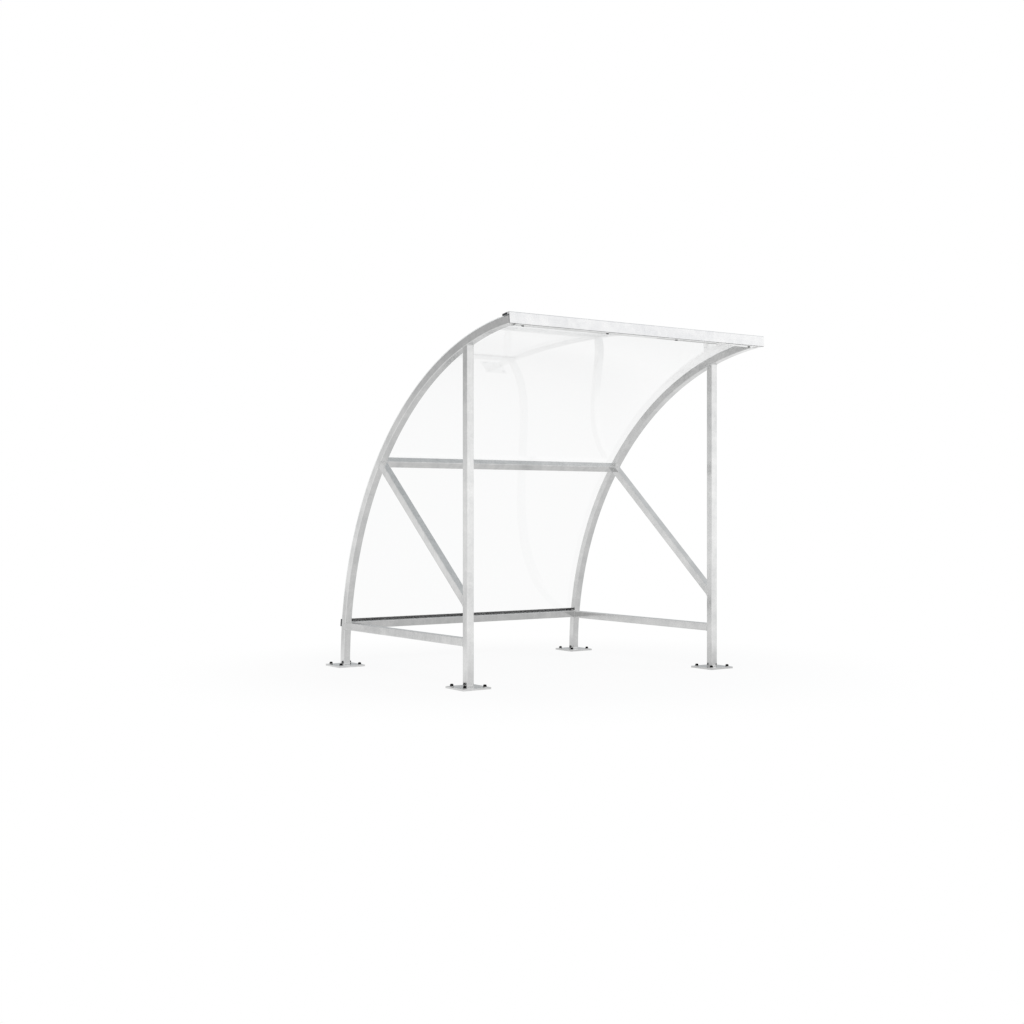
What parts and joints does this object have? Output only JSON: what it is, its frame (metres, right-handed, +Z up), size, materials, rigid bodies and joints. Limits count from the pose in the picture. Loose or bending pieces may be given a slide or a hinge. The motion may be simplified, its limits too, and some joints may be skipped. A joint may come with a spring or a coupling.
{
  "type": "bike shelter",
  "caption": "Open quarter-round bike shelter: galvanised square-tube end frames on bolt-down base plates, joined by rails and roofed by one clear curved sheet.",
  "frame": {"origin": "on the ground, midway across the shelter and midway between the fascia's front edge and the rear base plates' back edges", "axes": "+X across the shelter to the right as seen from the front, +Y from the open front to the back, +Z up"},
  "size_m": [2.2, 2.1296, 2.23],
  "materials": {
    "galvanised_steel": "hot-dip galvanised, satin, faint spangle",
    "fascia_steel": "bright galvanised sheet, satin",
    "clear_sheet": "clear, polished",
    "black_plastic": "matte moulded"
  },
  "bodies": {
    "root": {"left_rib": "galvanised_steel", "right_rib": "galvanised_steel", "left_front_post": "galvanised_steel", "right_front_post": "galvanised_steel", "left_side_rail": "galvanised_steel", "right_side_rail": "galvanised_steel", "left_brace": "galvanised_steel", "right_brace": "galvanised_steel", "middle_rail": "galvanised_steel", "lower_back_rail": "galvanised_steel", "front_rail": "galvanised_steel", "front_left_base_plate": "galvanised_steel", "front_right_base_plate": "galvanised_steel", "rear_left_base_plate": "galvanised_steel", "rear_right_base_plate": "galvanised_steel", "fascia": "fascia_steel", "clear_sheet": "clear_sheet", "lower_clamp_strip": "black_plastic", "upper_clamp_strip": "black_plastic", "left_rib_cap": "black_plastic", "right_rib_cap": "black_plastic"}
  },
  "joints": []
}
